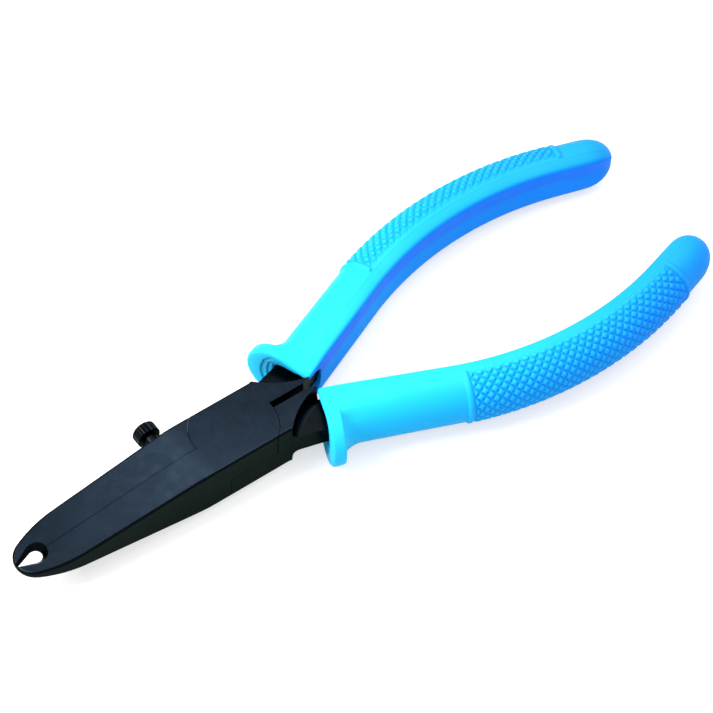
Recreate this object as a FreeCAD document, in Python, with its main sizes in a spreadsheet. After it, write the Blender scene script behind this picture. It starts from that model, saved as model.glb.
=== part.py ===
import FreeCAD, Part
import math
import os
import re
import Sketcher
from FreeCAD import Placement, Rotation, Vector

# Slim lap-joint stripping plier. Two equal forgings are crossed at a rivet: the second is the first turned
# half a turn about X. Each forging is drawn about the shear plane (z = 0 in its own body) with the jaw on the
# -Y side, the nose towards -X and the tang on the +Y side. All lengths are in millimetres, angles in degrees.

SIZES = [
    # head and joint
    ("head_thickness", 10.4),
    ("head_half_width", 6.9),
    ("disc_radius", 8.7),
    ("disc_gap", 0.12),
    ("lap_gap", 0.06),
    ("parting_gap", 0.1),
    ("edge_radius", 0.5),
    # nose
    ("nose_length", 49.0),
    ("tip_radius", 4.2),
    ("tip_thickness", 1.2),
    ("cheek_radius", 25.0),
    ("flank_start", 11.0),
    ("flank_angle", 2.0),
    ("taper_start", 11.0),
    ("taper_blend", 2.6),
    # cutting hole
    ("hole_centre", 44.8),
    ("hole_radius", 1.4),
    ("hole_point", 48.7),
    ("lip_thickness", 0.3),
    ("bevel_angle", 42.0),
    # shoulders
    ("slot_half_width", 0.7),
    ("slot_end", 16.7),
    ("shoulder_end", 8.2),
    ("scoop_x", 21.9),
    ("scoop_y", 18.6),
    ("scoop_radius", 17.6),
    ("scoop_fillet", 1.6),
    # handle line, from the grip's mouth to its tail
    ("mouth_x", 16.7),
    ("mouth_y", 5.42),
    ("mouth_angle", 22.87),
    ("handle_straight", 26.1),
    ("handle_bend_radius", 75.5),
    ("tail_angle", 16.8),
    ("grip_tail", 6.5),
    # tang
    ("tang_half_height", 2.1),
    ("tang_inner", 3.4),
    ("tang_outer", 3.7),
    ("tang_tail", 3.0),
    # grip sleeve
    ("grip_flat", 4.5),
    ("grip_flat_half_height", 4.7),
    ("grip_crown", 1.5),
    ("grip_crown_half_height", 5.6),
    ("grip_half_width", 5.6),
    ("grip_taper", 0.84),
    ("grip_crown_taper", 0.88),
    ("grip_end_round", 7.0),
    ("guard_reach", 9.9),
    ("guard_half_height", 6.1),
    ("guard_thickness", 2.8),
    ("guard_edge", 0.5),
    ("guard_flare", 3.6),
    ("guard_inner", 1.0),
    ("panel_start", 3.0),
    ("panel_tail", 2.3),
    ("panel_height", 0.45),
    ("panel_inner", 1.0),
    ("notch_depth", 5.0),
    ("notch_half_height", 3.6),
    ("grip_fit_gap", 0.02),
    # pivot rivet
    ("rivet_radius", 3.0),
    ("rivet_head_depth", 1.2),
    ("rivet_gap", 0.03),
    # stop screw
    ("screw_x", 12.6),
    ("screw_radius", 1.5),
    ("screw_gap", 0.05),
    ("stud_inset", 1.2),
    ("spot_face_depth", 0.2),
    ("nut_radius", 2.2),
    ("nut_thickness", 1.7),
    ("knob_lift", 3.1),
    ("knob_radius", 2.5),
    ("knob_thickness", 2.5),
    ("knob_chamfer", 0.25),
    ("knob_wall", 0.8),
    ("knurl_depth", 0.18),
    ("knurl_count", 24),
]

STRAIGHT_STEPS = 3
BEND_STEPS = 6
CAP_SHARES = (0.3, 0.55, 0.75, 0.88, 0.96, 0.99)
PANEL_STEPS = 5
ROUND_SHARE = 0.45

UP = Vector(0, 0, 1)

# Parts of a unit normal: less than LEVEL of it is upright on a side, more than FACING_BACK of it is along the
# head on the mouth face.
LEVEL = 0.1
FACING_BACK = 0.8

doc = FreeCAD.newDocument("stripping_plier")
sheet = doc.addObject("Spreadsheet::Sheet", "Sizes")
for row, (name, value) in enumerate(SIZES, start=1):
    sheet.set("A%d" % row, name)
    sheet.set("B%d" % row, str(value))
    sheet.setAlias("B%d" % row, name)
doc.recompute()
CELLS = {name for name, value in SIZES}


def cell(text):
    """An expression in which every word that names a size points at its cell in the sheet."""
    return re.sub(r"[a-z_]+", lambda word: ("Sizes." if word.group() in CELLS else "") + word.group(), text)


def number(text):
    """What such an expression comes to now."""
    value = sheet.evalExpression(cell(text))
    return float(getattr(value, "Value", value))


# The handle line: the centre of its bend, and the run that it takes for each degree of turn.
BEND_X = "(mouth_x + handle_straight * cos(mouth_angle) + handle_bend_radius * sin(mouth_angle))"
BEND_Y = "(mouth_y + handle_straight * sin(mouth_angle) - handle_bend_radius * cos(mouth_angle))"
ARC_PER_DEGREE = "(handle_bend_radius * pi / 180)"


def tail_point(tail):
    """Where a straight tail of that length ends."""
    x = BEND_X + " + handle_bend_radius * sin(tail_angle) + %s * cos(tail_angle)" % tail
    y = BEND_Y + " + handle_bend_radius * cos(tail_angle) - %s * sin(tail_angle)" % tail
    return x, y


# ---------------------------------------------------------------- sketches


def sketch_on(body, name, role, offset=None):
    """A sketch on one of the body's own origin planes; offset maps Placement paths to expressions."""
    sketch = body.newObject("Sketcher::SketchObject", name)
    plane = next(item for item in body.Origin.OriginFeatures if item.Role == role)
    sketch.AttachmentSupport = (plane, [""])
    sketch.MapMode = "FlatFace"
    for path, text in (offset or {}).items():
        if path == "Angle":
            sketch.AttachmentOffset = Placement(Vector(), Rotation(Vector(0, 1, 0), number(text)))
            sketch.setExpression("AttachmentOffset.Rotation.Angle", cell(text))
    for path, text in (offset or {}).items():
        if path != "Angle":
            sketch.setExpression("AttachmentOffset.Base." + path, cell(text))
    return sketch


def pin(sketch, geometry, point, x, y):
    """Hold one end of a line or arc at a place given by two expressions."""
    for kind, text in (("DistanceX", x), ("DistanceY", y)):
        index = sketch.addConstraint(Sketcher.Constraint(kind, -1, 1, geometry, point, number(text)))
        sketch.setExpression("Constraints[%d]" % index, cell(text))


def hold_radius(sketch, geometry, text):
    index = sketch.addConstraint(Sketcher.Constraint("Radius", geometry, number(text)))
    sketch.setExpression("Constraints[%d]" % index, cell(text))


def arc_centre(start, end, radius):
    """Centre of the short arc from start to end, which turns left for a positive radius."""
    middle = (start + end) * 0.5
    chord = end - start
    half = chord.Length / 2
    left = Vector(-chord.y, chord.x, 0).normalize()
    rise = math.sqrt(max(radius * radius - half * half, 0.0))
    side = 1 if radius > 0 else -1
    return middle + left * (side * rise)


def close_loop(sketch, corners):
    """A closed outline. A corner is (x, y), or (x, y, radius) where an arc runs on to the next corner."""
    points = [Vector(number(c[0]), number(c[1]), 0) for c in corners]
    ids = []
    for i, corner in enumerate(corners):
        start, end = points[i], points[(i + 1) % len(points)]
        if len(corner) == 3:
            radius = number(corner[2])
            centre = arc_centre(start, end, radius)
            first = math.atan2(start.y - centre.y, start.x - centre.x)
            last = math.atan2(end.y - centre.y, end.x - centre.x)
            if radius < 0:
                first, last = last, first
            whole = Part.Circle(centre, UP, abs(radius))
            ids.append(sketch.addGeometry(Part.ArcOfCircle(whole, first, last), False))
        else:
            ids.append(sketch.addGeometry(Part.LineSegment(start, end), False))
    for i, corner in enumerate(corners):
        following = (i + 1) % len(corners)
        backwards = len(corner) == 3 and number(corner[2]) < 0
        next_backwards = len(corners[following]) == 3 and number(corners[following][2]) < 0
        end_point = 1 if backwards else 2
        start_point = 2 if next_backwards else 1
        joined = (ids[i], end_point, ids[following], start_point)
        sketch.addConstraint(Sketcher.Constraint("Coincident", *joined))
        pin(sketch, ids[i], 2 if backwards else 1, corner[0], corner[1])
        if len(corner) == 3:
            sign = "-(%s)" if backwards else "%s"
            hold_radius(sketch, ids[i], sign % corner[2])
    return ids


def turning_axis(sketch, x):
    """An upright construction line that a profile is turned about."""
    high = number("head_thickness")
    line = Part.LineSegment(Vector(number(x), -high, 0), Vector(number(x), high, 0))
    axis = sketch.addGeometry(line, True)
    pin(sketch, axis, 1, x, "-head_thickness")
    pin(sketch, axis, 2, x, "head_thickness")


def ring(sketch, x, y, radius):
    circle = sketch.addGeometry(Part.Circle(Vector(number(x), number(y), 0), UP, number(radius)))
    pin(sketch, circle, 3, x, y)
    hold_radius(sketch, circle, radius)


# ---------------------------------------------------------------- features


def feature(body, kind, name, sketch, **settings):
    """A PartDesign feature on a sketch. Its Length is an expression on the sheet's sizes."""
    item = body.newObject("PartDesign::" + kind, name)
    item.Profile = sketch
    for key, value in settings.items():
        if key == "Length":
            setattr(item, key, number(value))
            item.setExpression(key, cell(value))
        else:
            setattr(item, key, value)
    doc.recompute()
    return item


def revolved(body, kind, name, sketch, axis="V_Axis"):
    item = body.newObject("PartDesign::" + kind, name)
    item.Profile = sketch
    item.ReferenceAxis = (sketch, [axis])
    item.Angle = 360
    doc.recompute()
    return item


def straight_plane(run):
    """Section plane on the straight of the handle: its X is the outward direction and its Y is up."""
    x = "mouth_x + (%s) * cos(mouth_angle)" % run
    y = "mouth_y + (%s) * sin(mouth_angle)" % run
    return {"Angle": "mouth_angle", "x": y, "z": x}


def bend_plane(turned):
    """Section plane where the bend has turned that many degrees."""
    angle = "(mouth_angle - %s)" % turned
    x = "%s - handle_bend_radius * sin(%s)" % (BEND_X, angle)
    y = "%s + handle_bend_radius * cos(%s)" % (BEND_Y, angle)
    return {"Angle": angle, "x": y, "z": x}


def tail_plane(tail):
    """Section plane on the straight tail."""
    x, y = tail_point(tail)
    return {"Angle": "-tail_angle", "x": y, "z": x}


def stations(tail):
    """Section planes from the grip's mouth to the end of a tail, with the run along the handle to each."""
    found = []
    for step in range(STRAIGHT_STEPS + 1):
        run = "(%s * handle_straight)" % (step / STRAIGHT_STEPS)
        found.append((straight_plane(run), run))
    for step in range(1, BEND_STEPS + 1):
        turned = "(%s * (mouth_angle + tail_angle))" % (step / BEND_STEPS)
        found.append((bend_plane(turned), "(handle_straight + %s * %s)" % (turned, ARC_PER_DEGREE)))
    whole_bend = "(mouth_angle + tail_angle) * " + ARC_PER_DEGREE
    found.append((tail_plane(tail), "(handle_straight + %s + %s)" % (whole_bend, tail)))
    return found


def loft(body, kind, name, sections, ruled=False):
    item = body.newObject("PartDesign::" + kind, name)
    item.Profile = sections[0]
    item.Sections = [(section, [""]) for section in sections[1:]]
    item.Ruled = ruled
    doc.recompute()
    return item


def tang_sections(body, gap):
    """Sections of the tang with a gap around them, from the mouth of the grip to the end of the tang."""
    inner = "-(tang_inner + %s)" % gap
    outer = "tang_outer + %s" % gap
    high = "tang_half_height + %s" % gap
    low = "-(%s)" % high
    sections = []
    for plane, _ in stations("tang_tail"):
        sketch = sketch_on(body, "tang_%d" % len(sections), "YZ_Plane", plane)
        close_loop(sketch, [(inner, low), (outer, low), (outer, high), (inner, high)])
        sections.append(sketch)
    return sections


# ---------------------------------------------------------------- levers


def jaw_outline(body):
    """Plan of one jaw: round tip, full cheek, straight flank, straight side, and the parting face."""
    sketch = sketch_on(body, "jaw_outline", "XY_Plane")
    tip = Vector(-number("nose_length") + number("tip_radius"), 0, 0)
    corner = Vector(-number("flank_start"), -number("head_half_width"), 0)
    slope = math.radians(number("flank_angle"))
    along = Vector(-math.cos(slope), math.sin(slope), 0)
    inward = Vector(math.sin(slope), math.cos(slope), 0)
    cheek_radius = number("cheek_radius")
    lifted = corner + inward * cheek_radius - tip
    half_b = lifted.dot(along)
    reach = -half_b - math.sqrt(half_b ** 2 - lifted.dot(lifted) + (cheek_radius - number("tip_radius")) ** 2)
    cheek = tip + lifted + along * reach
    flank_end = corner + along * reach
    tip_end = tip + (tip - cheek).normalize() * number("tip_radius")
    tip_angle = math.atan2(tip_end.y - tip.y, tip_end.x - tip.x)
    flank_end_angle = math.atan2(flank_end.y - cheek.y, flank_end.x - cheek.x)
    tip_circle = Part.Circle(tip, UP, number("tip_radius"))
    cheek_circle = Part.Circle(cheek, UP, cheek_radius)
    tip_arc = sketch.addGeometry(Part.ArcOfCircle(tip_circle, math.pi, 2 * math.pi + tip_angle), False)
    cheek_arc = sketch.addGeometry(Part.ArcOfCircle(cheek_circle, tip_angle, flank_end_angle), False)
    half_gap = number("parting_gap / 2")
    side_end = Vector(0, corner.y, 0)
    root = Vector(0, -half_gap, 0)
    front = Vector(-number("nose_length"), -half_gap, 0)
    flank = sketch.addGeometry(Part.LineSegment(flank_end, corner), False)
    side = sketch.addGeometry(Part.LineSegment(corner, side_end), False)
    back = sketch.addGeometry(Part.LineSegment(side_end, root), False)
    parting = sketch.addGeometry(Part.LineSegment(root, front), False)
    join = Sketcher.Constraint
    sketch.addConstraint([
        join("Tangent", tip_arc, 2, cheek_arc, 1),
        join("Tangent", cheek_arc, 2, flank, 1),
        join("Coincident", flank, 2, side, 1),
        join("Coincident", side, 2, back, 1),
        join("Coincident", back, 2, parting, 1),
        join("Coincident", parting, 2, tip_arc, 1),
        join("Horizontal", parting),
    ])
    pin(sketch, tip_arc, 3, "tip_radius - nose_length", "0")
    hold_radius(sketch, tip_arc, "tip_radius")
    hold_radius(sketch, cheek_arc, "cheek_radius")
    pin(sketch, side, 1, "-flank_start", "-head_half_width")
    pin(sketch, back, 1, "0", "-head_half_width")
    pin(sketch, back, 2, "0", "-parting_gap / 2")
    angle = sketch.addConstraint(join("Angle", -1, 1, flank, 1, -slope))
    sketch.setExpression("Constraints[%d]" % angle, cell("-flank_angle"))
    return sketch


def shoulder_outline(body):
    """Plan of the other side: from the joint back to the mouth of the grip."""
    sketch = sketch_on(body, "shoulder_outline", "XY_Plane")
    inner_mouth = ("mouth_x + grip_flat * sin(mouth_angle)", "mouth_y - grip_flat * cos(mouth_angle)")
    outer_mouth = ("mouth_x - tang_outer * sin(mouth_angle)", "mouth_y + tang_outer * cos(mouth_angle)")
    close_loop(sketch, [
        ("0", "slot_half_width"),
        ("slot_end", "slot_half_width"),
        inner_mouth,
        outer_mouth,
        ("shoulder_end", "head_half_width"),
        ("0", "head_half_width"),
    ])
    return sketch


def disc_outline(body):
    """The joint disc, flattened where it meets the sides of the head."""
    sketch = sketch_on(body, "disc_outline", "XY_Plane", {"z": "lap_gap / 2"})
    flat = "sqrt(disc_radius^2 - head_half_width^2)"
    close_loop(sketch, [
        (flat, "-head_half_width", "disc_radius"),
        (flat, "head_half_width"),
        ("-(%s)" % flat, "head_half_width", "disc_radius"),
        ("-(%s)" % flat, "-head_half_width"),
    ])
    return sketch


TAPER = "atan((head_thickness - tip_thickness) / 2 / (nose_length - taper_start))"


def nose_taper(body):
    """Side view of what is ground off above and below the nose, from a round run-out to past the tip."""
    sketch = sketch_on(body, "nose_taper", "XZ_Plane")
    end = "(nose_length + tip_radius)"
    clear = "(head_thickness / 2 + tip_radius)"
    for sign in (1, -1):
        lead = "" if sign > 0 else "-"
        arc = "%s taper_blend / tan(%s / 2)" % (lead, TAPER)
        arc_end = "(head_thickness / 2 - taper_blend * sin(%s))" % TAPER
        nose_end = "(head_thickness / 2 - (%s - taper_start) * tan(%s))" % (end, TAPER)
        close_loop(sketch, [
            ("taper_blend - taper_start", lead + "(head_thickness / 2)", arc),
            ("-taper_start - taper_blend * cos(%s)" % TAPER, lead + arc_end),
            ("-" + end, lead + nose_end),
            ("-" + end, lead + clear),
            ("taper_blend - taper_start", lead + clear),
        ])
    return sketch


def teardrop(body, name, height="0", grow="0"):
    """The cutting hole at one height: a round with two tangents that meet near the tip."""
    sketch = sketch_on(body, name, "XY_Plane", {"z": height})
    radius = "(hole_radius + %s)" % grow
    span = "((hole_point - hole_centre) * %s / hole_radius)" % radius
    tangent_x = "-hole_centre - %s^2 / %s" % (radius, span)
    tangent_y = "%s * sqrt(1 - (%s / %s)^2)" % (radius, radius, span)
    close_loop(sketch, [
        ("-hole_centre - " + span, "0"),
        (tangent_x, "-" + tangent_y, radius),
        ("%s - hole_centre" % radius, "0", radius),
        (tangent_x, tangent_y),
    ])
    return sketch


def cutting_bevels(body):
    """Bevels ground into the hole from both faces, which leave a thin cutting lip at mid height."""
    grow = "((head_thickness - lip_thickness) / 2 * tan(bevel_angle))"
    for name, side in (("upper", ""), ("lower", "-")):
        lip = teardrop(body, name + "_lip_outline", side + "lip_thickness / 2")
        rim = teardrop(body, name + "_bevel_outline", side + "head_thickness / 2", grow)
        loft(body, "SubtractiveLoft", name + "_bevel", [lip, rim], ruled=True)


def outer_edges(shape):
    """Names of the edges between the head's faces and its outer sides, from the tip back to the shoulder."""
    chosen = []
    for index, edge in enumerate(shape.Edges, start=1):
        middle = edge.valueAt((edge.FirstParameter + edge.LastParameter) / 2)
        faces = shape.ancestorsOfType(edge, Part.Face)
        if any(isinstance(face.Surface, Part.Cylinder) and face.Surface.Center.x == 0 for face in faces):
            continue
        side, face = sorted((face.normalAt(*face.Surface.parameter(middle)) for face in faces),
                            key=lambda normal: abs(normal.z))
        faces_out = side.y * middle.y > 0 and side.x < FACING_BACK and abs(side.z) < LEVEL
        if faces_out and face.z * middle.z > 0 and abs(face.z) > 1 - LEVEL:
            chosen.append("Edge%d" % index)
    return chosen


def soften_edges(body):
    """Round the head's outer edges, by no more than the wall at the tip allows."""
    radius = "min(edge_radius; %s * tip_thickness)" % ROUND_SHARE
    base = body.Tip
    rounding = body.newObject("PartDesign::Fillet", "edge_rounding")
    rounding.Base = (base, outer_edges(base.Shape))
    rounding.Radius = number(radius)
    rounding.setExpression("Radius", cell(radius))
    doc.recompute()


def rivet_bore(body, gap):
    sketch = sketch_on(body, "rivet_bore_outline", "XZ_Plane")
    face = "head_thickness / 2"
    close_loop(sketch, [
        ("0", "-lap_gap"),
        ("rivet_radius + " + gap, "-lap_gap"),
        ("rivet_radius + " + gap, face + " - rivet_head_depth"),
        ("rivet_radius + rivet_head_depth + " + gap, face),
        ("rivet_radius + rivet_head_depth + " + gap, face + " + lap_gap"),
        ("0", face + " + lap_gap"),
    ])
    return sketch


def scoop_cutter(body):
    """Upright round cutter with a rounded rim that thins the shoulder to the tang from both faces."""
    sketch = sketch_on(body, "scoop_outline", "XZ_Plane", {"z": "-scoop_y"})
    for lead in ("", "-"):
        close_loop(sketch, [
            ("scoop_x", lead + "tang_half_height"),
            ("scoop_x - scoop_radius + scoop_fillet", lead + "tang_half_height",
             ("-" if lead == "" else "") + "scoop_fillet"),
            ("scoop_x - scoop_radius", lead + "(tang_half_height + scoop_fillet)"),
            ("scoop_x - scoop_radius", lead + "(head_thickness / 2 + scoop_fillet)"),
            ("scoop_x", lead + "(head_thickness / 2 + scoop_fillet)"),
        ])
    turning_axis(sketch, "scoop_x")
    return sketch


def lever(label, disc_on_top, screw):
    """One forging. The rivet turns freely in the one whose disc is on top, and is tight in the other."""
    body = doc.addObject("PartDesign::Body", label)
    feature(body, "Pad", "jaw", jaw_outline(body), Length="head_thickness", Midplane=True)
    feature(body, "Pad", "shoulder", shoulder_outline(body), Length="head_thickness", Midplane=True)
    disc_seat = sketch_on(body, "disc_seat_outline", "XY_Plane", {"z": "lap_gap / 2"})
    ring(disc_seat, "0", "0", "disc_radius + disc_gap")
    feature(body, "Pocket", "disc_seat", disc_seat, Type="ThroughAll")
    feature(body, "Pad", "disc", disc_outline(body), Length="(head_thickness - lap_gap) / 2")
    feature(body, "Pocket", "nose_faces", nose_taper(body), Type="ThroughAll", Midplane=True)
    soften_edges(body)
    feature(body, "Pocket", "hole", teardrop(body, "hole_outline"), Type="ThroughAll", Midplane=True)
    cutting_bevels(body)
    revolved(body, "Groove", "rivet_bore", rivet_bore(body, "rivet_gap" if disc_on_top else "0"))
    revolved(body, "Groove", "scoops", scoop_cutter(body), "Axis0")
    loft(body, "AdditiveLoft", "tang", tang_sections(body, "0"))
    if screw:
        bore = sketch_on(body, "screw_bore_outline", "XZ_Plane")
        ring(bore, "-screw_x", "0", "screw_radius + screw_gap")
        feature(body, "Pocket", "screw_bore", bore, Type="ThroughAll", Reversed=True)
        face = sketch_on(body, "spot_face_outline", "XZ_Plane", {"z": "head_half_width - spot_face_depth"})
        ring(face, "-screw_x", "0", "nut_radius + spot_face_depth")
        feature(body, "Pocket", "spot_face", face, Length="head_half_width", Reversed=True)
    return body


# ---------------------------------------------------------------- grips


def dome_radius(wide, crown, crown_high):
    """Radius of the round outer side that runs through both crowns and the widest point."""
    return "(((%s - %s)^2 + %s^2) / (2 * (%s - %s)))" % (wide, crown, crown_high, wide, crown)


def grip_section(body, name, plane, scale, wide, crown_high):
    """Section of the sleeve: flat towards the other handle, crowned above and below, round outside."""
    sketch = sketch_on(body, name, "YZ_Plane", plane)
    flat, flat_high, crown = (
        "(%s * %s)" % (size, scale) for size in ("grip_flat", "grip_flat_half_height", "grip_crown"))
    outer = dome_radius(wide, crown, crown_high)
    rise = "(%s - %s)" % (crown_high, flat_high)
    run = "(%s + %s)" % (crown, flat)
    turn = "(atan(%s / %s) + atan((%s - %s + %s) / %s))" % (rise, run, crown, wide, outer, crown_high)
    crown_radius = "sqrt(%s^2 + %s^2) / (2 * sin(%s))" % (rise, run, turn)
    close_loop(sketch, [
        ("-" + flat, "-" + flat_high, crown_radius),
        (crown, "-" + crown_high, outer),
        (wide, "0", outer),
        (crown, crown_high, crown_radius),
        ("-" + flat, flat_high),
    ])
    return sketch


def saddle_section(body, name, plane, inner, crown, wide, high, seat, edge=None):
    """Section of what is wrapped round the sleeve's outer side. Its two inner ends are sunk in the sleeve."""
    sketch = sketch_on(body, name, "YZ_Plane", plane)
    outer = dome_radius(wide, crown, high)
    lower_edge = [(inner, "-" + edge)] if edge else []
    upper_edge = [(inner, edge)] if edge else []
    close_loop(sketch, [
        (inner, "-" + seat),
        *lower_edge,
        (crown, "-" + high, outer),
        (wide, "0", outer),
        (crown, high),
        *upper_edge,
        (inner, seat),
    ])
    return sketch


def guard_section(body, name, plane, stand):
    """The finger guard's outline, with that share of its stand over the sleeve."""
    wide = "(grip_half_width + %s * (guard_reach - grip_half_width))" % stand
    high = "(grip_crown_half_height + %s * (guard_half_height - grip_crown_half_height))" % stand
    seat = "(grip_flat_half_height - guard_edge)"
    return saddle_section(body, name, plane, "-guard_inner", "grip_crown", wide, high, seat)


def panel_section(body, name, plane, scale, crown_scale):
    """The raised panel's outline, with a low step at its two inner edges."""
    inner = "-(panel_inner * %s)" % scale
    crown = "(grip_crown * %s)" % scale
    wide = "(grip_half_width * %s + panel_height)" % scale
    high = "(grip_crown_half_height * %s + panel_height)" % crown_scale
    seat = "(grip_flat_half_height * %s)" % scale
    edge = "(%s - panel_height / 2)" % high
    return saddle_section(body, name, plane, inner, crown, wide, high, seat, edge)


def tapers(run, whole):
    """How much of the mouth's width and height the sleeve keeps at that run."""
    return ["(1 - (1 - %s) * %s / %s)" % (taper, run, whole) for taper in ("grip_taper", "grip_crown_taper")]


# The finger guard from its front face to where it has blended into the sleeve: the run along the handle, and
# how much of its stand over the sleeve is left there.
GUARD_STEPS = (
    ("0", "(1 - guard_edge / (guard_reach - grip_half_width))"),
    ("guard_edge", "1"),
    ("guard_thickness - guard_edge / 2", "1"),
    ("guard_thickness", "(1 - guard_edge / 2 / (guard_reach - grip_half_width))"),
    ("guard_thickness + guard_flare / 6", "0.34"),
    ("guard_thickness + guard_flare / 2", "0.08"),
    ("guard_thickness + guard_flare", "-0.05"),
)


def grip(label):
    """Moulded sleeve on a tang: tapered, with a finger guard in front, a raised panel and a rounded tail."""
    body = doc.addObject("PartDesign::Body", label)
    places = stations("grip_tail")
    whole = places[-1][1]
    sections = []
    for plane, run in places:
        scale, crown_scale = tapers(run, whole)
        wide = "(grip_half_width * %s)" % scale
        high = "(grip_crown_half_height * %s)" % crown_scale
        sections.append(grip_section(body, "section_%d" % len(sections), plane, scale, wide, high))
    loft(body, "AdditiveLoft", "sleeve", sections)

    cap = [sections[-1]]
    for share in CAP_SHARES:
        shrink = "sqrt(1 - %s^2)" % share
        scale = "(grip_taper * %s)" % shrink
        wide = "(grip_half_width * %s)" % scale
        high = "(grip_crown_half_height * grip_crown_taper * %s)" % shrink
        plane = tail_plane("(grip_tail + %s * grip_end_round)" % share)
        cap.append(grip_section(body, "cap_%d" % len(cap), plane, scale, wide, high))
    loft(body, "AdditiveLoft", "tail_cap", cap)

    plates = []
    for run, stand in GUARD_STEPS:
        plates.append(guard_section(body, "guard_%d" % len(plates), straight_plane(run), stand))
    loft(body, "AdditiveLoft", "guard", plates, ruled=True)

    panel = []
    first = "(panel_start / %s)" % ARC_PER_DEGREE
    for step in range(PANEL_STEPS + 1):
        turned = "(%s + %s * (mouth_angle + tail_angle - %s))" % (first, step / PANEL_STEPS, first)
        run = "(handle_straight + %s * %s)" % (turned, ARC_PER_DEGREE)
        scale, crown_scale = tapers(run, whole)
        panel.append(panel_section(body, "panel_%d" % step, bend_plane(turned), scale, crown_scale))
    run = "(handle_straight + (mouth_angle + tail_angle) * %s + panel_tail)" % ARC_PER_DEGREE
    scale, crown_scale = tapers(run, whole)
    panel.append(panel_section(body, "panel_end", tail_plane("panel_tail"), scale, crown_scale))
    loft(body, "AdditiveLoft", "knurled_panel", panel)

    loft(body, "SubtractiveLoft", "tang_space", tang_sections(body, "grip_fit_gap"))
    facing = {"Angle": "mouth_angle", "x": "mouth_x", "z": "-mouth_y"}
    notch = sketch_on(body, "notch_outline", "XZ_Plane", facing)
    close_loop(notch, [
        ("-guard_thickness", "-notch_half_height"),
        ("notch_depth - notch_half_height", "-notch_half_height", "notch_half_height"),
        ("notch_depth", "0", "notch_half_height"),
        ("notch_depth - notch_half_height", "notch_half_height"),
        ("-guard_thickness", "notch_half_height"),
    ])
    feature(body, "Pocket", "notch", notch, Type="ThroughAll", Reversed=True)
    return body


# ---------------------------------------------------------------- rivet, stop screw and lock nut


def turned(label, corners):
    """A body turned about its own Z axis from a closed outline of (radius, height) corners."""
    body = doc.addObject("PartDesign::Body", label)
    sketch = sketch_on(body, "outline", "XZ_Plane")
    close_loop(sketch, corners)
    revolved(body, "Revolution", "turning", sketch)
    return body


def rivet():
    head = "rivet_radius + rivet_head_depth"
    return turned("pivot_rivet", [
        ("0", "-head_thickness / 2"),
        (head, "-head_thickness / 2"),
        ("rivet_radius", "rivet_head_depth - head_thickness / 2"),
        ("rivet_radius", "head_thickness / 2 - rivet_head_depth"),
        (head, "head_thickness / 2"),
        ("0", "head_thickness / 2"),
    ])


# The stop screw's pieces are turned about Z with z = 0 on the parting plane and the knob at the far end.
NUT_SEAT = "head_half_width - spot_face_depth"
KNOB_SEAT = "head_half_width + knob_lift"


def lock_nut():
    return turned("stop_lock_nut", [
        ("screw_radius + screw_gap", NUT_SEAT),
        ("nut_radius", NUT_SEAT),
        ("nut_radius", NUT_SEAT + " + nut_thickness"),
        ("screw_radius + screw_gap", NUT_SEAT + " + nut_thickness"),
    ])


def stud():
    end = KNOB_SEAT + " + knob_thickness - knob_wall - screw_gap"
    return turned("stop_screw_stud", [
        ("0", "stud_inset"),
        ("screw_radius - knob_chamfer", "stud_inset"),
        ("screw_radius", "stud_inset + knob_chamfer"),
        ("screw_radius", end),
        ("0", end),
    ])


def knob():
    top = KNOB_SEAT + " + knob_thickness"
    body = turned("stop_screw_knob", [
        ("screw_radius + screw_gap", KNOB_SEAT),
        ("knob_radius - knob_chamfer", KNOB_SEAT),
        ("knob_radius", KNOB_SEAT + " + knob_chamfer"),
        ("knob_radius", top + " - knob_chamfer"),
        ("knob_radius - knob_chamfer", top),
        ("0", top),
        ("0", top + " - knob_wall"),
        ("screw_radius + screw_gap", top + " - knob_wall"),
    ])
    groove = sketch_on(body, "knurl_outline", "XY_Plane", {"z": KNOB_SEAT})
    close_loop(groove, [
        ("knob_radius - knurl_depth", "0"),
        ("knob_radius + knurl_depth", "-2 * knurl_depth"),
        ("knob_radius + knurl_depth", "2 * knurl_depth"),
    ])
    cut = feature(body, "Pocket", "knurl", groove, Length="knob_thickness", Reversed=True)
    pattern = body.newObject("PartDesign::PolarPattern", "knurling")
    pattern.Originals = [cut]
    pattern.Axis = (groove, ["N_Axis"])
    pattern.Angle = 360
    pattern.setExpression("Occurrences", cell("knurl_count"))
    body.Tip = pattern
    doc.recompute()
    return body


# ---------------------------------------------------------------- assembly

MIDDLE = "head_thickness / 2"
UPRIGHT = Rotation()
TURNED_OVER = Rotation(Vector(1, 0, 0), 180)
ACROSS = Rotation(Vector(1, 0, 0), -90)


def place(body, rotation, x="0"):
    """Stand the body on the head's middle plane, at x along the head."""
    body.Placement = Placement(Vector(number(x), 0, number(MIDDLE)), rotation)
    body.setExpression("Placement.Base.x", cell(x))
    body.setExpression("Placement.Base.z", cell(MIDDLE))
    return body


parts = [
    place(lever("plain_lever", True, False), UPRIGHT),
    place(lever("tapped_lever", False, True), TURNED_OVER),
    place(grip("plain_lever_grip"), UPRIGHT),
    place(grip("tapped_lever_grip"), TURNED_OVER),
    place(rivet(), UPRIGHT),
    place(lock_nut(), ACROSS, "-screw_x"),
    place(stud(), ACROSS, "-screw_x"),
    place(knob(), ACROSS, "-screw_x"),
]
doc.recompute()

# ---------------------------------------------------------------- checks and export

for item in doc.Objects:
    if "Invalid" in item.State or "Error" in item.State:
        raise RuntimeError("%s has failed: %s" % (item.Label, item.State))
    if item.isDerivedFrom("PartDesign::Feature") and not item.Shape.Solids:
        raise RuntimeError("%s leaves no solid" % item.Label)
for part in parts:
    shape = part.Shape
    if shape.isNull() or not shape.isValid() or len(shape.Solids) != 1:
        raise RuntimeError(part.Label + " is not one valid solid")

os.makedirs("parts", exist_ok=True)
for part in parts:
    part.Shape.exportStep("parts/%s.step" % part.Label)
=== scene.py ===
import math

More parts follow.
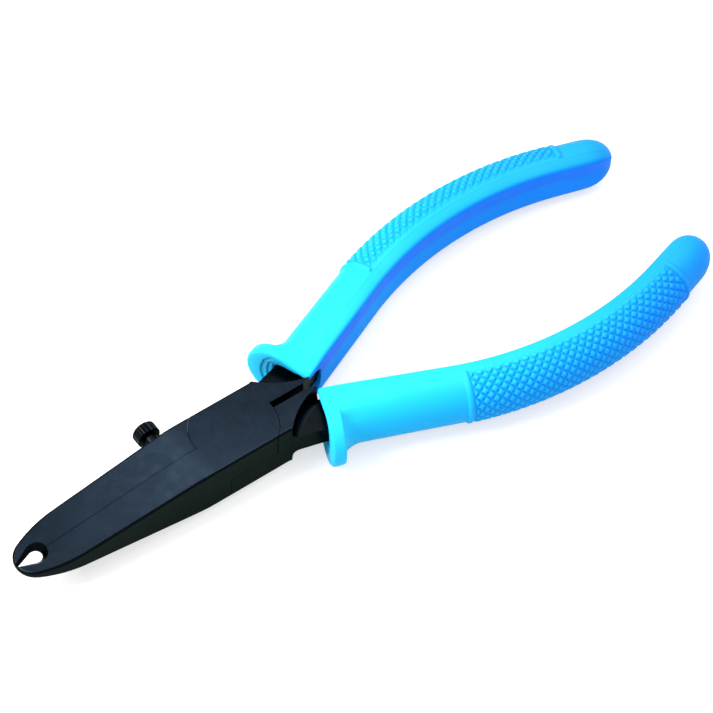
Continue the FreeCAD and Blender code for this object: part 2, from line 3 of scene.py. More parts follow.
import bpy
import numpy as np
from mathutils import Matrix, Vector


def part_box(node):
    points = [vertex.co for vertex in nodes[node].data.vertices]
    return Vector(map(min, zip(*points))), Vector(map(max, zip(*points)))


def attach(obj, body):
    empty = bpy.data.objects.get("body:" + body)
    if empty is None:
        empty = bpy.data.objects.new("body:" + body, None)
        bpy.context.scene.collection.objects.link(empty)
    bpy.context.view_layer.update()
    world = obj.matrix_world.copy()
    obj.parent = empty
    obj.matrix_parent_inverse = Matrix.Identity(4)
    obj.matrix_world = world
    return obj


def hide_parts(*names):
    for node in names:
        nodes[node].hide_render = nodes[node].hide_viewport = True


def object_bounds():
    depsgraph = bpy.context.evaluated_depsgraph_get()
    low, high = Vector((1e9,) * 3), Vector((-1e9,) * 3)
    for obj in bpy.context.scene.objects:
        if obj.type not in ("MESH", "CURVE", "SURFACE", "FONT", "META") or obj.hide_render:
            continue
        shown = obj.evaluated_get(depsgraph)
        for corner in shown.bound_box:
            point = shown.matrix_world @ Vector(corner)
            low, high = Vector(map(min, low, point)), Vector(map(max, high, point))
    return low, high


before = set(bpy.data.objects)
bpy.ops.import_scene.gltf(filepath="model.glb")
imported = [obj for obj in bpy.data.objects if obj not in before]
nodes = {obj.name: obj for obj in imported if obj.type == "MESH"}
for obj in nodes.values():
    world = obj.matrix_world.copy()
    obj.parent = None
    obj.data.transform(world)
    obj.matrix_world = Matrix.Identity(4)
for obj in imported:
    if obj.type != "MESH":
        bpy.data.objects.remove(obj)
cad_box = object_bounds()


# ---------------------------------------------------------------- levers and rivet
# Two drop-forged steel levers, crossed at a rivet whose heads are dressed flush. The head's faces are ground,
# then all three pieces are blackened together: a thin blue-black oxide with a satin grain.

def fresh_material(name):
    """A new material, the tree that its finish is built in, and the shader that the tree feeds."""
    material = bpy.data.materials.new(name)
    material.use_nodes = True
    return material, material.node_tree, material.node_tree.nodes["Principled BSDF"]


def surface_grain(tree, scale, stretch=(1, 1, 1), detail=4.0):
    """Uneven random values fixed to the piece, in its own metres. It can be drawn out along an axis."""
    where = tree.nodes.new("ShaderNodeTexCoord")
    drawn = tree.nodes.new("ShaderNodeMapping")
    drawn.inputs["Scale"].default_value = stretch
    grain = tree.nodes.new("ShaderNodeTexNoise")
    grain.inputs["Scale"].default_value = scale
    grain.inputs["Detail"].default_value = detail
    tree.links.new(where.outputs["Object"], drawn.inputs["Vector"])
    tree.links.new(drawn.outputs["Vector"], grain.inputs["Vector"])
    return grain.outputs["Fac"]


# The part of the grain's range over which a colour and a roughness change.
COLOUR_STOPS, ROUGHNESS_STOPS = (0.35, 0.65), (0.3, 0.7)


def shade_between(tree, grain, dark, light):
    """A colour that runs from dark to light as the grain rises."""
    ramp = tree.nodes.new("ShaderNodeValToRGB")
    for stop, place, colour in zip(ramp.color_ramp.elements, COLOUR_STOPS, (dark, light)):
        stop.position = place
        stop.color = (*colour, 1)
    tree.links.new(grain, ramp.inputs["Fac"])
    return ramp.outputs["Color"]


def roughness_between(tree, grain, glossy, dull):
    """A roughness that runs from glossy to dull as the grain rises."""
    span = tree.nodes.new("ShaderNodeMapRange")
    span.inputs["From Min"].default_value, span.inputs["From Max"].default_value = ROUGHNESS_STOPS
    span.inputs["To Min"].default_value, span.inputs["To Max"].default_value = glossy, dull
    tree.links.new(grain, span.inputs["Value"])
    return span.outputs["Result"]


def laid_over(tree, share, base, top):
    """The base colour with another one laid over it by that share. The other one is a colour or an output."""
    blend = tree.nodes.new("ShaderNodeMix")
    blend.data_type = "RGBA"
    tree.links.new(share, blend.inputs["Factor"])
    tree.links.new(base, blend.inputs["A"])
    if isinstance(top, tuple):
        blend.inputs["B"].default_value = (*top, 1)
    else:
        tree.links.new(top, blend.inputs["B"])
    return blend.outputs["Result"]


def raise_grain(tree, surface, grain, strength, depth):
    """Roughens a surface by its grain, to a depth in metres."""
    relief = tree.nodes.new("ShaderNodeBump")
    relief.inputs["Strength"].default_value = strength
    relief.inputs["Distance"].default_value = depth
    tree.links.new(grain, relief.inputs["Height"])
    tree.links.new(relief.outputs["Normal"], surface.inputs["Normal"])


# The nose's two faces start this far in front of the pivot, in metres, and are found by how upright their
# normals stand. The head's own faces are found by their height, to within a thin skin.
NOSE_BACK, UPRIGHT_ENOUGH = -0.005, 0.95
FACE_SKIN = 0.00002


def where_ground(tree, face_low, face_high):
    """1 on the head's two flat faces and on the nose's two tapered ones, and 0 on the sides."""

    def worked_out(operation, source, other=0.0):
        """One step of arithmetic on an output, with a number or another output."""
        step = tree.nodes.new("ShaderNodeMath")
        step.operation = operation
        tree.links.new(source, step.inputs[0])
        if isinstance(other, float):
            step.inputs[1].default_value = other
        else:
            tree.links.new(other, step.inputs[1])
        return step.outputs[0]

    place = tree.nodes.new("ShaderNodeTexCoord")
    spot, facing = (tree.nodes.new("ShaderNodeSeparateXYZ") for _ in range(2))
    tree.links.new(place.outputs["Object"], spot.inputs["Vector"])
    tree.links.new(place.outputs["Normal"], facing.inputs["Vector"])
    above_middle = worked_out("SUBTRACT", spot.outputs["Z"], (face_low + face_high) / 2)
    from_middle = worked_out("ABSOLUTE", above_middle)
    on_face = worked_out("GREATER_THAN", from_middle, (face_high - face_low) / 2 - FACE_SKIN)
    on_nose = worked_out("LESS_THAN", spot.outputs["X"], NOSE_BACK)
    upright = worked_out("GREATER_THAN", worked_out("ABSOLUTE", facing.outputs["Z"]), UPRIGHT_ENOUGH)
    return worked_out("MAXIMUM", on_face, worked_out("MULTIPLY", on_nose, upright))


# The oxide's tint at a low angle, the mottle in its colour, the haze in its gloss, and the fine grain under
# it, which is drawn out across the tool.
OXIDE_GLINT = (0.55, 0.60, 0.56)
MOTTLE_SCALE, MOTTLE_DARK = 160, 0.86
HAZE_SCALE = 420
GRAIN_SCALE, GRAIN_STRETCH, GRAIN_STRENGTH, GRAIN_DEPTH = 900, (4.0, 0.6, 1.0), 0.35, 0.000003


def blackened_steel(name, skin, roughness, ground=None, faces=None):
    """Oxide-blackened steel with a satin grain. A ground colour goes on the faces at those two heights."""
    material, tree, steel = fresh_material(name)
    steel.inputs["Metallic"].default_value = 1.0
    steel.inputs["Specular Tint"].default_value = (*OXIDE_GLINT, 1)
    mottle = surface_grain(tree, MOTTLE_SCALE, detail=3.0)

    def mottled(colour):
        return shade_between(tree, mottle, [MOTTLE_DARK * part for part in colour], colour)

    colour = mottled(skin)
    if ground:
        share = where_ground(tree, *faces)
        colour = laid_over(tree, share, colour, mottled(ground))
    tree.links.new(colour, steel.inputs["Base Color"])
    haze = surface_grain(tree, HAZE_SCALE, detail=5.0)
    tree.links.new(roughness_between(tree, haze, *roughness), steel.inputs["Roughness"])
    grain = surface_grain(tree, GRAIN_SCALE, stretch=GRAIN_STRETCH, detail=6.0)
    raise_grain(tree, steel, grain, GRAIN_STRENGTH, GRAIN_DEPTH)
    return material


def refinish(node, material):
    """Puts a material in every slot of a CAD node."""
    for place in nodes[node].material_slots:
        place.material = material


FORGED_BLACK, GROUND_BLACK = (0.005, 0.0068, 0.0082), (0.0088, 0.0145, 0.0225)
LEVER_ROUGHNESS = (0.24, 0.32)

head_low, head_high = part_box("pivot_rivet")
lever_black = blackened_steel(
    "lever_black", FORGED_BLACK, LEVER_ROUGHNESS, ground=GROUND_BLACK, faces=(head_low.z, head_high.z))
for node in ("plain_lever", "tapped_lever", "pivot_rivet"):
    refinish(node, lever_black)


# ---------------------------------------------------------------- stop screw
# A small turned thumb screw with a knurled head and a round lock nut, in free-cutting steel.
# It has been blackened too. Its turned skin is darker than the ground faces and the same all over.

TURNED_BLACK = (0.006, 0.007, 0.009)
TURNED_ROUGHNESS = (0.24, 0.34)

screw_black = blackened_steel("screw_black", TURNED_BLACK, TURNED_ROUGHNESS)
for node in ("stop_screw_stud", "stop_lock_nut", "stop_screw_knob"):
    refinish(node, screw_black)


# ---------------------------------------------------------------- sleeve grips
# Moulded soft vinyl sleeves pushed over the tangs. Each has a finger guard in front, a smooth throat with
# a notch in its inner wall, a raised panel of square studs between two ribs, and a plain rounded tail.

# The sleeves' lengths are in millimetres. The handle's middle line from the pivot: the place of the sleeve's
# mouth, the straight, the bend and the straight tail behind it, and the sleeve's rounded end.
MM = 0.001
MOUTH_X, MOUTH_Y, MIDDLE = 16.7, 5.42, 5.2
MOUTH_TURN, TAIL_TURN = math.radians(22.87), math.radians(16.8)
STRAIGHT, BEND_RADIUS, TAIL, TAIL_ROUND = 26.1, 75.5, 6.5, 6.9
BEND = BEND_RADIUS * (MOUTH_TURN + TAIL_TURN)
RUN = STRAIGHT + BEND + TAIL


def on_handle(run, outward, high):
    """Places points of a section, in millimetres, at that run along the upper handle from the mouth."""
    ahead = min(run, STRAIGHT)
    bent = min(max(run - STRAIGHT, 0), BEND) / BEND_RADIUS
    after = max(run - STRAIGHT - BEND, 0)
    turn = MOUTH_TURN - bent
    x = MOUTH_X + ahead * math.cos(MOUTH_TURN) + after * math.cos(turn)
    y = MOUTH_Y + ahead * math.sin(MOUTH_TURN) + after * math.sin(turn)
    x += BEND_RADIUS * (math.sin(MOUTH_TURN) - math.sin(turn))
    y += BEND_RADIUS * (math.cos(turn) - math.cos(MOUTH_TURN))
    x, y = x - outward * math.sin(turn), y + outward * math.cos(turn)
    return np.stack((x, y, MIDDLE + high), axis=1) * MM


# The sleeve's section at its mouth, from the middle line: the inner wall and half its height, the crowns and
# their height, and the widest point. The inner wall has a shallow valley between its two rounded edges.
FLAT, FLAT_HIGH, CROWN, CROWN_HIGH, WIDE = 4.5, 4.7, 1.5, 5.6, 5.6
EDGE_ROUND, EDGE_LIMIT = 0.75, 0.3
VALLEY = 0.5
DOME_STEPS, CROWN_STEPS, EDGE_STEPS, FLAT_STEPS = 42, 30, 4, 15


def sleeve_outline(flat, flat_high, crown, crown_high, wide):
    """Closed section: round outside, crowned above and below, flat inside. It starts at the widest point."""
    dome = ((wide - crown) ** 2 + crown_high ** 2) / (2 * (wide - crown))
    at_crown = math.atan2(crown_high, crown - wide + dome)
    rise, reach = crown_high - flat_high, crown + flat
    turn = math.atan2(rise, reach) + math.pi / 2 - at_crown
    bow = math.hypot(rise, reach) / (2 * math.sin(turn))
    edge = min(EDGE_ROUND, EDGE_LIMIT * flat_high)
    angles = at_crown * np.arange(DOME_STEPS) / DOME_STEPS
    around = np.stack((wide - dome + dome * np.cos(angles), dome * np.sin(angles)), axis=1)
    sweep = (2 * turn - edge / bow) * np.arange(CROWN_STEPS) / CROWN_STEPS + at_crown
    centre = np.array((crown - bow * math.cos(at_crown), crown_high - bow * math.sin(at_crown)))
    over = centre + bow * np.stack((np.cos(sweep), np.sin(sweep)), axis=1)
    last = at_crown + 2 * turn - edge / bow
    leave = centre + bow * np.array((math.cos(last), math.sin(last)))
    corner, land = np.array((-flat, flat_high)), np.array((-flat, flat_high - edge))
    share = (np.arange(EDGE_STEPS) / EDGE_STEPS)[:, None]
    rounded = (1 - share) ** 2 * leave + 2 * share * (1 - share) * corner + share ** 2 * land
    top = np.concatenate((around, over, rounded))
    down = np.linspace(land[1], -land[1], FLAT_STEPS)
    inner = np.stack((VALLEY * (1 - np.abs(down) / land[1]) - flat, down), axis=1)
    return np.concatenate((top, inner, top[:0:-1] * (1, -1)))


def outward_of(loop):
    """Unit normals of a closed section."""
    along = np.roll(loop, -1, axis=0) - np.roll(loop, 1, axis=0)
    normal = np.stack((along[:, 1], -along[:, 0]), axis=1)
    return normal / np.linalg.norm(normal, axis=1, keepdims=True)


def girth_from_outside(loop):
    """Signed distance round the section from its widest point, up positive and down negative."""
    steps = np.linalg.norm(np.roll(loop, -1, axis=0) - loop, axis=1)
    ahead = np.concatenate(((0,), np.cumsum(steps)[:-1]))
    return np.where(ahead > steps.sum() / 2, ahead - steps.sum(), ahead)


def smooth_step(x, low, high):
    """Rises from 0 to 1 between low and high, with soft ends."""
    share = np.clip((x - low) / (high - low), 0, 1)
    return share * share * (3 - 2 * share)


# How much narrower and lower the sleeve is at its tail than at its mouth.
NARROWING, LOWERING = 0.16, 0.12


def narrowed(run):
    """Share of the mouth's width that is left at that run."""
    return 1 - NARROWING * run / RUN


def throat(run):
    """The plain sleeve's section at that run."""
    scale = narrowed(run)
    tall = 1 - LOWERING * run / RUN
    return sleeve_outline(FLAT * scale, FLAT_HIGH * scale, CROWN * scale, CROWN_HIGH * tall, WIDE * scale)


# The panel lies between two runs, and its two edges a little inward of the crowns. A low crease follows them
# from the guard to the tail. A pair is where a form starts to rise and where it has its full height.
PANEL_FROM, PANEL_TO, PANEL_INNER = 27.8, 80.1, 1.7
RIB_WIDE, RIB_HIGH, RIB_GAP, RIB_EDGE = 1.15, 0.43, 0.25, (0.0, 0.5)
GAP_RUN, GAP_EDGE = (RIB_WIDE * 0.9, RIB_WIDE + RIB_GAP * 0.5), (0.0, 1.0)
STUD_PITCH, STUD_HIGH, STUD_FLANK = 1.38, 0.40, (0.1, 0.52)
STUD_RUN, STUD_EDGE = (RIB_WIDE + RIB_GAP * 0.3, RIB_WIDE + RIB_GAP + 0.3), (0.2, 1.7)
CREASE_HIGH, CREASE_WIDE, CREASE_RUN = 0.09, 0.2, (5.0, 9.0)


def panel_relief(run, loop, scale):
    """Height of the studs, ribs and crease over the sleeve, and the painted shade each point gets deep in a
    groove.
    """
    girth = girth_from_outside(loop)
    edge_point = np.argmin(np.abs(loop[:DOME_STEPS + CROWN_STEPS, 0] + PANEL_INNER * scale))
    room = girth[edge_point] - np.abs(girth)
    crease = CREASE_HIGH * np.exp(-(room / CREASE_WIDE) ** 2) * smooth_step(run, *CREASE_RUN)
    end = min(run - PANEL_FROM, PANEL_TO - run)
    if end < 0:
        return crease, np.zeros(len(loop))
    rib = smooth_step(room, *RIB_EDGE) * RIB_HIGH * math.sqrt(max(1 - (2 * end / RIB_WIDE - 1) ** 2, 0))
    past_rib = float(smooth_step(end, *STUD_RUN))
    tops = np.ones(len(loop))
    for lean in (-1, 1):
        phase = (run + lean * girth) / (math.sqrt(2) * STUD_PITCH) % 1
        tops = tops * smooth_step(1 - 2 * np.abs(phase - 0.5), *STUD_FLANK)
    risen = smooth_step(room, *STUD_EDGE)
    height = rib + STUD_HIGH * tops * past_rib * risen
    in_rib_gap = smooth_step(end, *GAP_RUN) * (1 - past_rib)
    # Painted shade in the grooves between the studs and in the gap behind each rib.
    groove_shade = risen * (1 - tops) * past_rib + smooth_step(room, *GAP_EDGE) * in_rib_gap
    return np.maximum(height, crease), groove_shade


# The guard's full reach outward and half its height, and the rounding of its rim. Its profile goes from the
# rim to where it has run out into the sleeve: run, and share of its full stand.
GUARD_REACH, GUARD_HIGH, MOUTH_ROUND = 9.9, 6.1, 0.7
GUARD_PROFILE = (
    (0.0, 1.0), (0.04, 1.0), (0.12, 1.0), (0.26, 1.0), (0.46, 1.0), (0.7, 1.0), (1.0, 1.0), (1.4, 1.0),
    (1.9, 1.0), (2.3, 0.998), (2.55, 0.985), (2.7, 0.96), (2.78, 0.92), (2.82, 0.86), (2.86, 0.76),
    (2.92, 0.62), (3.02, 0.49), (3.18, 0.37), (3.42, 0.265), (3.75, 0.18), (4.2, 0.11), (4.75, 0.058),
    (5.4, 0.022), (6.2, 0.004), (7.0, 0.0),
)
# Over the crowns and inside, the guard fades over this run instead. On the dome the one way changes into the
# other between these shares of the way up and of the way down.
SOFT_RUN, SOFT_UP, SOFT_DOWN = (0.6, 6.8), (0.1, 0.85), (0.62, 1.0)


def guard_softness():
    """How gently the guard's back runs out at each point: sharp outside, gentle over the crown and inside."""
    dome = np.arange(DOME_STEPS) / DOME_STEPS
    over = np.concatenate((smooth_step(dome, *SOFT_UP), np.ones(CROWN_STEPS + EDGE_STEPS)))
    under = np.concatenate((smooth_step(dome, *SOFT_DOWN), np.ones(CROWN_STEPS + EDGE_STEPS)))
    return np.concatenate((over, np.ones(FLAT_STEPS), under[:0:-1]))


def guarded(run):
    """The sleeve's section with the guard round it, drawn in at the rounded rim."""
    plain = throat(run)
    plate = sleeve_outline(FLAT, FLAT_HIGH, CROWN, GUARD_HIGH, GUARD_REACH)
    sharp = float(np.interp(run, *zip(*GUARD_PROFILE)))
    soft = 1 - float(smooth_step(run, *SOFT_RUN))
    stand = sharp + (soft - sharp) * guard_softness()
    loop = plain + stand[:, None] * (plate - plain)
    short = max(MOUTH_ROUND - run, 0)
    return loop - outward_of(loop) * (MOUTH_ROUND - math.sqrt(MOUTH_ROUND ** 2 - short ** 2))


# The tang that the sleeve is pushed over: its inner and outer side and half its height, and the gap round it.
TANG_IN, TANG_OUT, TANG_HIGH, TANG_GAP = 3.4, 3.7, 2.1, 0.04
TANG_END = STRAIGHT + BEND + 3.0
# The pocket for it goes from its end to just behind the front face.
POCKET_FRONT, POCKET_STEPS = 1.8, 18


def tang_hole(outline):
    """The tang's rectangle with a point for each point of the outline, seen from the tang's middle."""
    half = np.array(((TANG_IN + TANG_OUT) / 2 + TANG_GAP, TANG_HIGH + TANG_GAP))
    middle = np.array(((TANG_OUT - TANG_IN) / 2, 0))
    ray = outline - middle
    hole = middle + ray / np.max(np.abs(ray) / half, axis=1, keepdims=True)
    for side in (-1, 1):
        for end in (-1, 1):
            corner = middle + half * (side, end)
            hole[np.argmin(np.linalg.norm(hole - corner, axis=1))] = corner
    return hole


# The front face inside its rim: share of the way in to the tang, and depth below the rim.
FACE_PROFILE = (
    (0.0, 0.0), (0.04, 0.04), (0.08, 0.16), (0.12, 0.34), (0.17, 0.42), (0.38, 0.42), (0.43, 0.46),
    (0.47, 0.6), (0.51, 0.76), (0.56, 0.82), (0.72, 0.82), (0.77, 0.88), (0.82, 1.05), (0.89, 1.25),
    (1.0, 1.35),
)
# The flat rim round it: its share of the way in, what is added to that outside, and where a middle loop lies.
RIM_INSIDE, RIM_ADDED, RIM_TURN, RIM_MIDDLE = 0.07, 0.36, (0.1, 0.9), 0.3
# The plain throat from the guard to the panel, then all that the panel and its ribs need, up to the tail.
THROAT_FROM, THROAT_TO, THROAT_STEP = 7.5, PANEL_FROM - 0.4, 0.8
FINE_FROM, FINE_TO, FINE_STEP = PANEL_FROM - 0.1, RUN - 1.5, 0.2
# The tail's end: the degrees of its round at which its sections stand, how blunt it is (2 is round), and how
# far its sections have come towards an oval at the tip.
TAIL_DEGREES = np.linspace(-12, 88, 34)
TAIL_BLUNT, TAIL_OVAL = 2.2, 0.35
# Where a point gets its painted shade: by how far it faces inward or outward, how high it lies on the inner
# wall, how far it is behind the mouth, and how deep in the front face.
WALL_FACING, WALL_UPPER, WALL_LOWER_SHARE = (0.6, 0.97), (-0.8, 0.8), 0.5
DOME_FACING, DOME_RUN = (-0.05, 0.75), (2, 9)
FACE_DEPTH, FACE_SHADE = (0.3, 1.3), 0.35


def painted_shades_of(run, loop, groove_shade):
    """Three painted shades for each point: on the inner wall, on the outer dome, and in a groove or recess.
    """
    facing = outward_of(loop)[:, 0]
    # Painted shade on the inner wall, heavier on its upper half as the upper sleeve lies.
    upper_half_shade = WALL_LOWER_SHARE + (1 - WALL_LOWER_SHARE) * smooth_step(loop[:, 1], *WALL_UPPER)
    inner_wall_shade = smooth_step(-facing, *WALL_FACING) * upper_half_shade
    # Painted shade on the outward-facing dome, starting a few millimetres behind the mouth.
    dome = smooth_step(facing, *DOME_FACING) * smooth_step(run, *DOME_RUN)
    return np.stack((inner_wall_shade, dome, np.zeros(len(loop)) + groove_shade), axis=1)


def tail_section(share):
    """Section at that share of the rounded end: it shrinks to the tip and comes a little towards an oval."""
    run = RUN + TAIL_ROUND * share
    loop = throat(min(run, RUN))
    loop = loop + outward_of(loop) * panel_relief(run, loop, narrowed(RUN))[0][:, None]
    past = max(share, 0)
    deep = np.where(loop[:, 0] < 0, FLAT, WIDE) * narrowed(RUN)
    high = CROWN_HIGH * (1 - LOWERING)
    oval = loop / np.hypot(loop[:, 0] / deep, loop[:, 1] / high)[:, None]
    loop = loop + TAIL_OVAL * past ** 2 * (oval - loop)
    return loop * (1 - past ** TAIL_BLUNT) ** (1 / TAIL_BLUNT)


def sleeve_loops():
    """All loops of the moulding, from the bottom of the pocket out over the mouth and back to the tail."""
    loops, painted_shades = [], []

    def keep(run, loop, groove_shade=0.0):
        loops.append(on_handle(run, loop[:, 0], loop[:, 1]))
        painted_shades.append(painted_shades_of(run, loop, groove_shade))

    rim = guarded(0)
    hole = tang_hole(rim)
    # The pocket's walls get full painted shade.
    for run in np.linspace(TANG_END, POCKET_FRONT, POCKET_STEPS):
        keep(run, hole, 1.0)
    flat_rim = (RIM_INSIDE + RIM_ADDED * smooth_step(outward_of(rim)[:, 0], *RIM_TURN))[:, None]
    # The front face's rings get more painted shade the deeper they lie.
    for share, depth in reversed(FACE_PROFILE):
        inward = flat_rim + (1 - flat_rim) * share
        keep(depth, rim + (hole - rim) * inward, smooth_step(depth, *FACE_DEPTH) * FACE_SHADE)
    keep(0.0, rim + (hole - rim) * flat_rim * RIM_MIDDLE)
    for run, _ in GUARD_PROFILE:
        keep(run, guarded(run))
    coarse = np.arange(THROAT_FROM, THROAT_TO, THROAT_STEP)
    fine = np.arange(FINE_FROM, FINE_TO, FINE_STEP)
    for run in np.concatenate((coarse, fine)):
        loop = throat(run)
        height, groove_shade = panel_relief(run, loop, narrowed(run))
        keep(run, loop + outward_of(loop) * height[:, None], groove_shade)
    for share in np.sin(np.radians(TAIL_DEGREES)):
        keep(RUN + TAIL_ROUND * share, tail_section(share))
    return loops, painted_shades


def sleeve_mesh(name):
    """The moulding as one closed skin on the upper handle, with its painted shade kept in each point."""
    loops, painted_shades = sleeve_loops()
    around, count = len(loops[0]), len(loops)
    tip = on_handle(RUN + TAIL_ROUND, np.zeros(1), np.zeros(1))
    points = np.concatenate(loops + [tip])
    painted_shades = np.concatenate(painted_shades + [painted_shades[-1].mean(axis=0, keepdims=True)])
    faces = [tuple(range(around - 1, -1, -1))]
    for lap in range(count - 1):
        here, there = lap * around, (lap + 1) * around
        for step in range(around):
            after = (step + 1) % around
            faces.append((here + step, here + after, there + after, there + step))
    last = (count - 1) * around
    faces += [(last + step, last + (step + 1) % around, count * around) for step in range(around)]
    mesh = bpy.data.meshes.new(name)
    mesh.from_pydata(points.tolist(), [], faces)
    # Each point's painted shade goes into an attribute that the vinyl reads.
    painted_shade = mesh.attributes.new("painted_shade", "FLOAT_COLOR", "POINT")
    painted_shade.data.foreach_set("color", np.column_stack((painted_shades, np.ones(len(painted_shades)))).ravel())
    return mesh


# The notch's reach from the mouth and half its height, then the punch: how far it stands out in front of the
# mouth, and its two sides, both inward of the middle line.
NOTCH_RUN, NOTCH_HIGH = 5.4, 3.8
PUNCH_FRONT, PUNCH_SIDES, PUNCH_STEPS = -2.0, (-9.0, -1.2), 33
SHARP_EDGE = math.radians(38)


def notch_punch():
    """A U-shaped punch that cuts the sleeve's inner wall at its mouth."""
    bend = np.radians(np.linspace(-90, 90, PUNCH_STEPS))
    round_end = NOTCH_RUN - NOTCH_HIGH + NOTCH_HIGH * np.cos(bend)
    run = np.concatenate(((PUNCH_FRONT,), round_end, (PUNCH_FRONT,)))
    high = np.concatenate(((-NOTCH_HIGH,), NOTCH_HIGH * np.sin(bend), (NOTCH_HIGH,)))
    points = []
    for outward in PUNCH_SIDES:
        points += [on_handle(r, np.array((outward,)), np.array((h,)))[0] for r, h in zip(run, high)]
    count = len(run)
    faces = [tuple(range(count)), tuple(range(2 * count - 1, count - 1, -1))]
    for step in range(count):
        after = (step + 1) % count
        faces.append((step, count + step, count + after, after))
    mesh = bpy.data.meshes.new("notch_punch")
    mesh.from_pydata([tuple(point) for point in points], [], faces)
    mesh.validate()
    return bpy.data.objects.new("notch_punch", mesh)


def moulded_grip(name):
    """The upper sleeve with the notch cut in its mouth. The punch is taken away again."""
    grip = bpy.data.objects.new(name, sleeve_mesh(name))
    bpy.context.scene.collection.objects.link(grip)
    punch = notch_punch()
    bpy.context.scene.collection.objects.link(punch)
    cut = grip.modifiers.new("notch", "BOOLEAN")
    cut.operation, cut.solver, cut.object = "DIFFERENCE", "EXACT", punch
    bpy.context.view_layer.update()
    done = bpy.data.meshes.new_from_object(grip.evaluated_get(bpy.context.evaluated_depsgraph_get()))
    grip.modifiers.clear()
    grip.data = done
    bpy.data.objects.remove(punch)
    done.shade_smooth()
    done.set_sharp_from_angle(angle=SHARP_EDGE)
    return grip


# The vinyl's blues: the crowns' two, which vary at random, then the painted shade of the dome, the inner wall
# and the grooves, each with the part of the painted shade attribute that says where it is, and the painted
# shade towards the tail, which comes in between two places behind the pivot.
CROWN_BLUES = ((0.014, 0.54, 0.97), (0.020, 0.59, 0.985))
SHADE_BLUES = {"Green": (0.011, 0.50, 0.98), "Red": (0.001, 0.23, 0.985), "Blue": (0.004, 0.38, 0.96)}
TAIL_SHADE_BLUE, TAIL_SHADE_FROM, TAIL_SHADE_TO, TAIL_SHADE_SHARE = (0.005, 0.23, 0.985), 0.025, 0.1, 0.75
CLOUD_SCALE, DULLNESS_SCALE, PORE_SCALE = 70, 300, 2600
VINYL_ROUGHNESS, VINYL_GLOSS = (0.46, 0.56), 0.1
PORE_STRENGTH, PORE_DEPTH = 0.3, 0.00001


def vinyl(name):
    """Soft vinyl with a low sheen. Painted shade deepens its blue on the inner wall, dome, grooves and tail.
    """
    material, tree, skin = fresh_material(name)
    skin.inputs["Specular IOR Level"].default_value = VINYL_GLOSS
    painted_shade = tree.nodes.new("ShaderNodeAttribute")
    painted_shade.attribute_name = "painted_shade"
    parts = tree.nodes.new("ShaderNodeSeparateColor")
    tree.links.new(painted_shade.outputs["Color"], parts.inputs["Color"])
    cloud = surface_grain(tree, CLOUD_SCALE, detail=2.0)
    colour = shade_between(tree, cloud, *CROWN_BLUES)
    # Painted shade on the dome, inner wall and grooves, laid over the crowns' blue.
    for part, blue in SHADE_BLUES.items():
        colour = laid_over(tree, parts.outputs[part], colour, blue)
    # Painted shade that deepens the blue towards the tail.
    place = tree.nodes.new("ShaderNodeTexCoord")
    spot = tree.nodes.new("ShaderNodeSeparateXYZ")
    tree.links.new(place.outputs["Object"], spot.inputs["Vector"])
    behind = tree.nodes.new("ShaderNodeMapRange")
    behind.inputs["From Min"].default_value, behind.inputs["From Max"].default_value = TAIL_SHADE_FROM, TAIL_SHADE_TO
    behind.inputs["To Max"].default_value = TAIL_SHADE_SHARE
    tree.links.new(spot.outputs["X"], behind.inputs["Value"])
    colour = laid_over(tree, behind.outputs["Result"], colour, TAIL_SHADE_BLUE)
    tree.links.new(colour, skin.inputs["Base Color"])
    dullness = surface_grain(tree, DULLNESS_SCALE, detail=4.0)
    tree.links.new(roughness_between(tree, dullness, *VINYL_ROUGHNESS), skin.inputs["Roughness"])
    pores = surface_grain(tree, PORE_SCALE, detail=3.0)
    raise_grain(tree, skin, pores, PORE_STRENGTH, PORE_DEPTH)
    return material


grip_vinyl = vinyl("grip_vinyl")
upper_grip = moulded_grip("upper_sleeve")
lower_grip = bpy.data.objects.new("lower_sleeve", upper_grip.data.copy())
bpy.context.scene.collection.objects.link(lower_grip)
to_middle = Matrix.Translation((0, 0, MIDDLE * MM))
lower_grip.data.transform(to_middle @ Matrix.Rotation(math.pi, 4, "X") @ to_middle.inverted())
for sleeve, node, body in (
        (upper_grip, "plain_lever_grip", "plain_half"),
        (lower_grip, "tapped_lever_grip", "tapped_half")):
    sleeve.data.materials.clear()
    sleeve.data.materials.append(grip_vinyl)
    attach(sleeve, body)
    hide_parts(node)


# ---------------------------------------------------------------- floor
# A wide sheet of pale matt paper. The plier rests on it with the lower edges of its two finger guards. The
# paper is lifted towards white where it is seen or mirrored, and not in the light that it throws back.

FLOOR_GAP, FLOOR_HALF = 0.00002, 3.0
PAPER_GREY, PAPER_LIFT, PAPER_ROUGHNESS, PAPER_GLOSS = 0.55, 0.6, 0.95, 0.1

floor_z = cad_box[0][2] - FLOOR_GAP
corners = [(x * FLOOR_HALF, y * FLOOR_HALF, floor_z) for x, y in ((-1, -1), (1, -1), (1, 1), (-1, 1))]
floor_mesh = bpy.data.meshes.new("studio_floor")
floor_mesh.from_pydata(corners, [], [(0, 1, 2, 3)])
floor = bpy.data.objects.new("studio_floor", floor_mesh)
bpy.context.scene.collection.objects.link(floor)
paper, paper_tree, sheet = fresh_material("studio_paper")
sheet.inputs["Base Color"].default_value = (PAPER_GREY, PAPER_GREY, PAPER_GREY, 1)
sheet.inputs["Roughness"].default_value = PAPER_ROUGHNESS
sheet.inputs["Specular IOR Level"].default_value = PAPER_GLOSS
ray_kind = paper_tree.nodes.new("ShaderNodeLightPath")
seen = ray_kind.outputs["Is Camera Ray"]
for ray in ("Is Glossy Ray", "Is Transmission Ray"):
    either = paper_tree.nodes.new("ShaderNodeMath")
    either.operation = "MAXIMUM"
    paper_tree.links.new(seen, either.inputs[0])
    paper_tree.links.new(ray_kind.outputs[ray], either.inputs[1])
    seen = either.outputs[0]
lift = paper_tree.nodes.new("ShaderNodeMath")
lift.operation = "MULTIPLY"
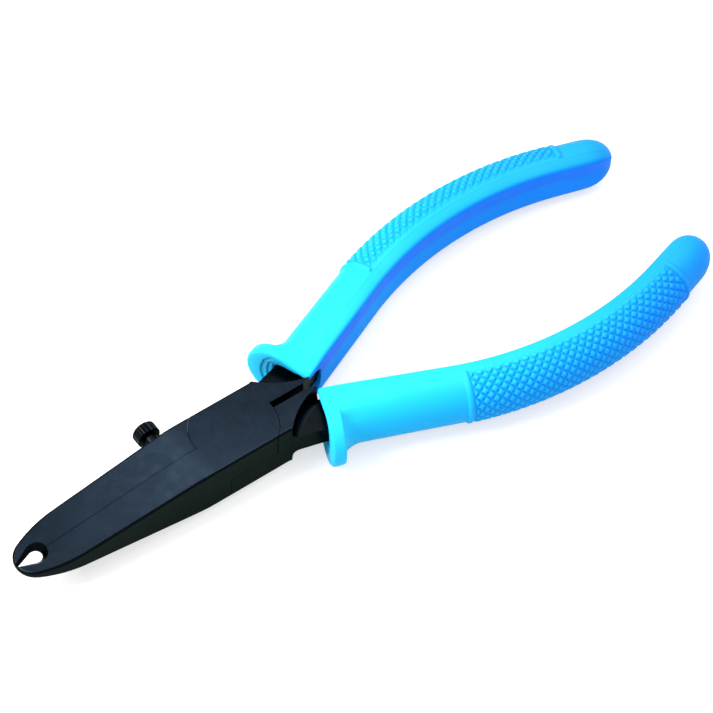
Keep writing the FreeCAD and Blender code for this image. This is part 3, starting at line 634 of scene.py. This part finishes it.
lift.inputs[1].default_value = PAPER_LIFT
paper_tree.links.new(seen, lift.inputs[0])
sheet.inputs["Emission Color"].default_value = (1, 1, 1, 1)
paper_tree.links.new(lift.outputs[0], sheet.inputs["Emission Strength"])
floor.data.materials.append(paper)


# ---------------------------------------------------------------- light and camera
# Soft daylight from all round, a round lamp in front of the nose, a wider one over the handles, and a narrow
# oval one whose sheen the head's faces carry. A long lens looks down on the near side.

DAYLIGHT = 0.82

world = bpy.data.worlds.new("studio_air")
bpy.context.scene.world = world
world.use_nodes = True
air = world.node_tree.nodes["Background"]
air.inputs["Color"].default_value = (1, 1, 1, 1)
air.inputs["Strength"].default_value = DAYLIGHT


def soft_lamp(name, place, towards, wide, high, watts):
    """An oval lamp at a place, in metres, turned towards another."""
    lamp = bpy.data.lights.new(name, "AREA")
    lamp.shape, lamp.size, lamp.size_y, lamp.energy = "ELLIPSE", wide, high, watts
    stand = bpy.data.objects.new(name, lamp)
    stand.location = place
    stand.rotation_euler = (Vector(towards) - Vector(place)).to_track_quat("-Z", "Y").to_euler()
    bpy.context.scene.collection.objects.link(stand)


PIVOT, HEAD = (0, 0, 0), (-0.01, -0.01, 0.01)

soft_lamp("key", (-0.15, 0.09, 0.2), PIVOT, wide=0.16, high=0.16, watts=0.92)
soft_lamp("back", (0.32, 0.0, 0.48), PIVOT, wide=0.34, high=0.34, watts=0.62)
soft_lamp("sheen", (0.066, 0.098, 0.263), HEAD, wide=0.19, high=0.05, watts=0.28)

AIM, DISTANCE = Vector((0.031193, 0.002998, 0.0052)), 0.55704
TURN, DIP, ROLL = math.radians(38.0629), math.radians(53.14), math.radians(2.204)
FOCAL, SENSOR = 143.96, 36

ahead = Vector((math.sin(TURN) * math.cos(DIP), math.cos(TURN) * math.cos(DIP), -math.sin(DIP)))
sideways = Vector((math.cos(TURN), -math.sin(TURN), 0))
upward = sideways.cross(ahead)
across = sideways * math.cos(ROLL) + upward * math.sin(ROLL)
above = upward * math.cos(ROLL) - sideways * math.sin(ROLL)
lens = bpy.data.cameras.new("studio_camera")
lens.lens, lens.sensor_width = FOCAL, SENSOR
lens.clip_start, lens.clip_end = 0.01, 10
camera = bpy.data.objects.new("studio_camera", lens)
camera.matrix_world = Matrix((across, above, -ahead)).transposed().to_4x4()
camera.location = AIM - ahead * DISTANCE
bpy.context.scene.collection.objects.link(camera)
bpy.context.scene.camera = camera
bpy.context.scene.view_settings.view_transform = "Standard"
